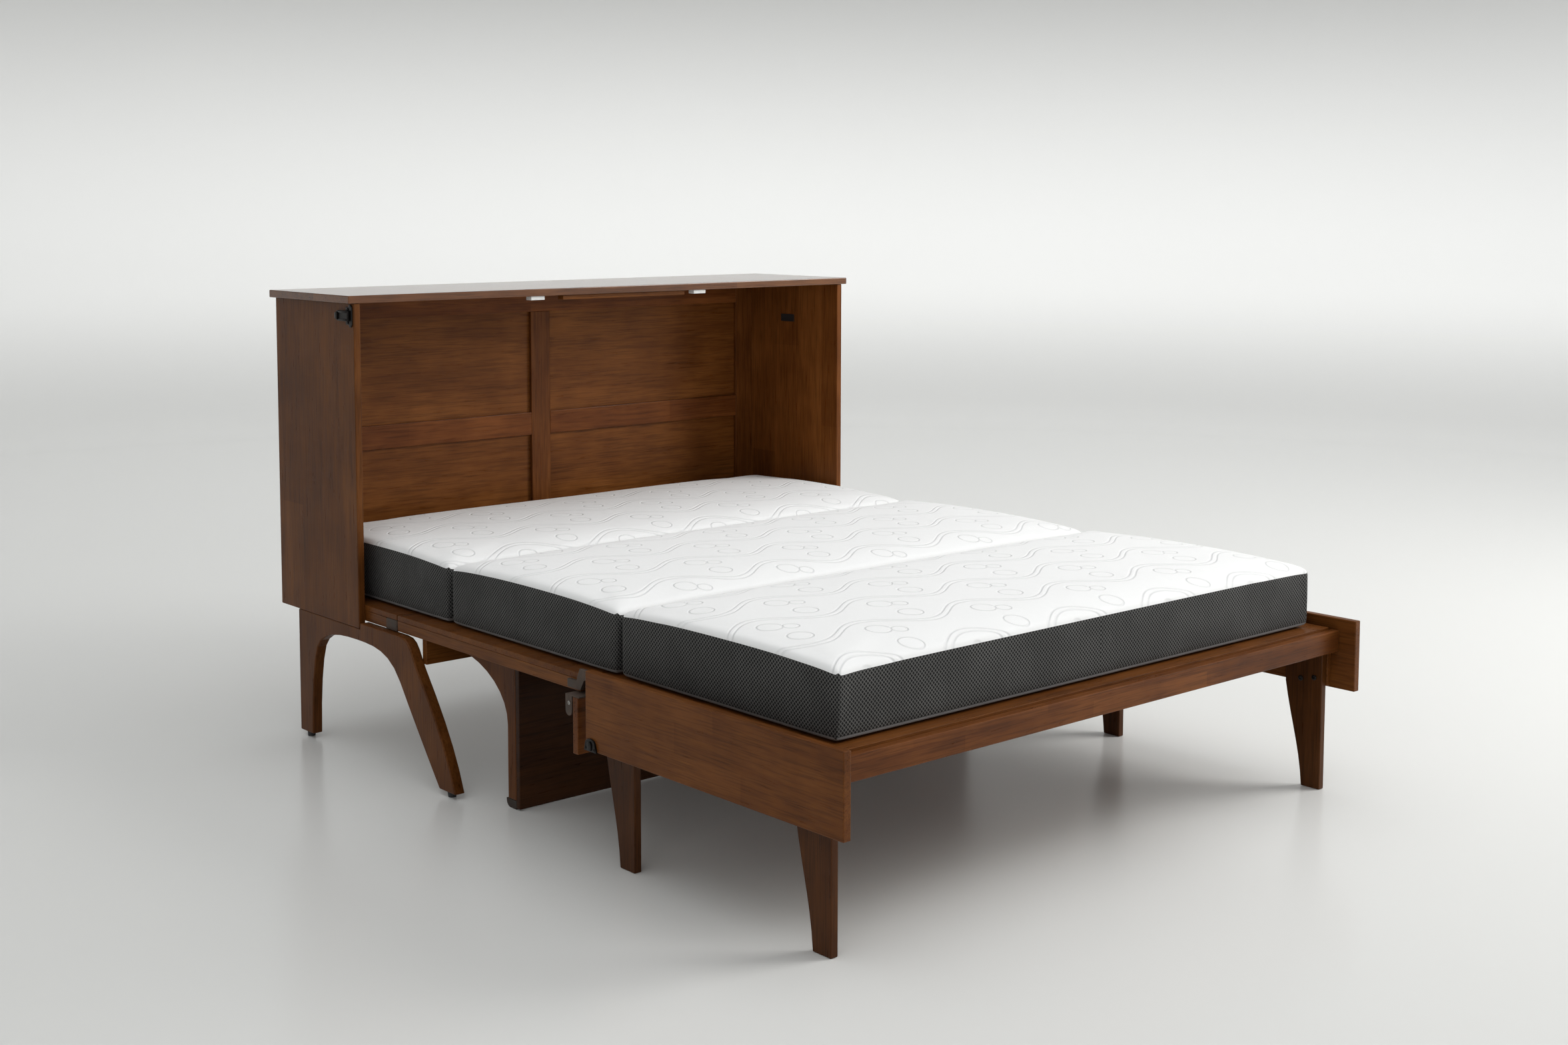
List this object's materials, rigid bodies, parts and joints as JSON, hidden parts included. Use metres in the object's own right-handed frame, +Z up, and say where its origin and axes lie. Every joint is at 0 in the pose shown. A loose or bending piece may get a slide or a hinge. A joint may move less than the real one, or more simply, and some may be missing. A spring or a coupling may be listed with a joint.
{
  "type": "folding cabinet bed",
  "caption": "Shallow wooden cabinet on arched legs that opens out into a low platform bed with a folding foam mattress, side boards and draw latches.",
  "frame": {"origin": "on the floor, under the middle of the opened bed's bounding box", "axes": "+X to the right when facing the cabinet from the bed's foot, +Y from the bed's foot to the cabinet, +Z up"},
  "size_m": [1.656, 2.151, 1.147],
  "materials": {
    "stained_wood": "satin warm brown stain",
    "brown_steel": "satin brown paint",
    "dark_iron": "dark gunmetal",
    "black_rubber": "matt black",
    "white_plastic": "matt white",
    "mattress_fabric": "soft knit top and mesh sides"
  },
  "bodies": {
    "cabinet": {"top_slab": "stained_wood", "side_panel_left": "stained_wood", "side_panel_right": "stained_wood", "slab_batten": "stained_wood", "slab_clip_left": "white_plastic", "slab_clip_right": "white_plastic", "leg_pad": "black_rubber", "back_rail_top": "stained_wood", "back_rail_bottom": "stained_wood", "back_stile_middle": "stained_wood", "back_stile_left": "stained_wood", "back_stile_right": "stained_wood", "back_rail_middle_left": "stained_wood", "back_rail_middle_right": "stained_wood", "back_sheet": "stained_wood", "head_rail_left": "stained_wood", "head_rail_right": "stained_wood", "main_hinge_left": "brown_steel", "main_hinge_right": "brown_steel", "head_deck": "stained_wood", "leg_frame_left": "stained_wood", "leg_frame_right": "stained_wood", "glide_rear_left": "black_rubber", "glide_rear_right": "black_rubber", "glide_front_left": "black_rubber", "glide_front_right": "black_rubber", "front_apron": "stained_wood", "latch_base_left": "dark_iron", "latch_base_right": "dark_iron"},
    "latch_left": {"latch_lever_left": "dark_iron"},
    "latch_right": {"latch_lever_right": "dark_iron"},
    "middle_section": {"middle_rail_left": "stained_wood", "middle_rail_right": "stained_wood", "support_bracket_left": "stained_wood", "support_bracket_right": "stained_wood", "support_skid_left": "brown_steel", "support_skid_right": "brown_steel", "foot_hinge_left": "brown_steel", "foot_hinge_right": "brown_steel", "middle_deck": "stained_wood", "support_panel": "stained_wood"},
    "foot_section": {"side_board_left": "stained_wood", "side_board_right": "stained_wood", "deck_ledger_left": "stained_wood", "deck_ledger_right": "stained_wood", "foot_leg_front_left": "stained_wood", "foot_leg_front_right": "stained_wood", "foot_leg_rear_left": "stained_wood", "foot_leg_rear_right": "stained_wood", "catch_left": "dark_iron", "catch_right": "dark_iron", "rest_bracket_left": "brown_steel", "rest_bracket_right": "brown_steel", "end_rail": "stained_wood", "rear_rail": "stained_wood", "cap_board": "stained_wood", "foot_deck": "stained_wood"},
    "mattress_head": {"mattress_head": "mattress_fabric"},
    "mattress_middle": {"mattress_middle": "mattress_fabric"},
    "mattress_foot": {"mattress_foot": "mattress_fabric"}
  },
  "joints": [
    {"name": "main_fold", "type": "hinge", "parent": "cabinet", "child": "middle_section", "pos_m": [0, 0.5155, 0.3865], "axis": [-1, 0, 0], "range_deg": [0, 90], "deforming": ["mattress_head", "mattress_middle", "mattress_foot"]},
    {"name": "foot_fold", "type": "hinge", "parent": "middle_section", "child": "foot_section", "pos_m": [0, -0.26, 0.3865], "axis": [-1, 0, 0], "range_deg": [0, 180], "deforming": ["mattress_head", "mattress_middle", "mattress_foot"]},
    {"name": "mattress_head_fold", "type": "hinge", "parent": "cabinet", "child": "mattress_head", "pos_m": [0, 0.9525, 0.4375], "axis": [-1, 0, 0], "range_deg": [0, 90], "deforming": ["mattress_head", "mattress_middle", "mattress_foot"]},
    {"name": "mattress_middle_fold", "type": "hinge", "parent": "mattress_head", "child": "mattress_middle", "pos_m": [0, 0.34025, 0.3865], "axis": [-1, 0, 0], "range_deg": [-180, 0], "deforming": ["mattress_head", "mattress_middle", "mattress_foot"]},
    {"name": "mattress_foot_fold", "type": "hinge", "parent": "mattress_middle", "child": "mattress_foot", "pos_m": [0, -0.31875, 0.5335], "axis": [-1, 0, 0], "range_deg": [0, 180], "deforming": ["mattress_head", "mattress_middle", "mattress_foot"]},
    {"name": "latch_left_swing", "type": "hinge", "parent": "cabinet", "child": "latch_left", "pos_m": [-0.8198, 0.6815, 1.097], "axis": [0, 0, 1], "range_deg": [0, 120]},
    {"name": "latch_right_swing", "type": "hinge", "parent": "cabinet", "child": "latch_right", "pos_m": [0.8198, 0.6815, 1.097], "axis": [0, 0, -1], "range_deg": [0, 120]}
  ],
  "couplings": [
    {"joint": "mattress_head_fold", "follows": "foot_fold", "ratio": 0.5},
    {"joint": "mattress_middle_fold", "follows": "foot_fold", "ratio": -1},
    {"joint": "mattress_foot_fold", "follows": "foot_fold", "ratio": 1}
  ]
}
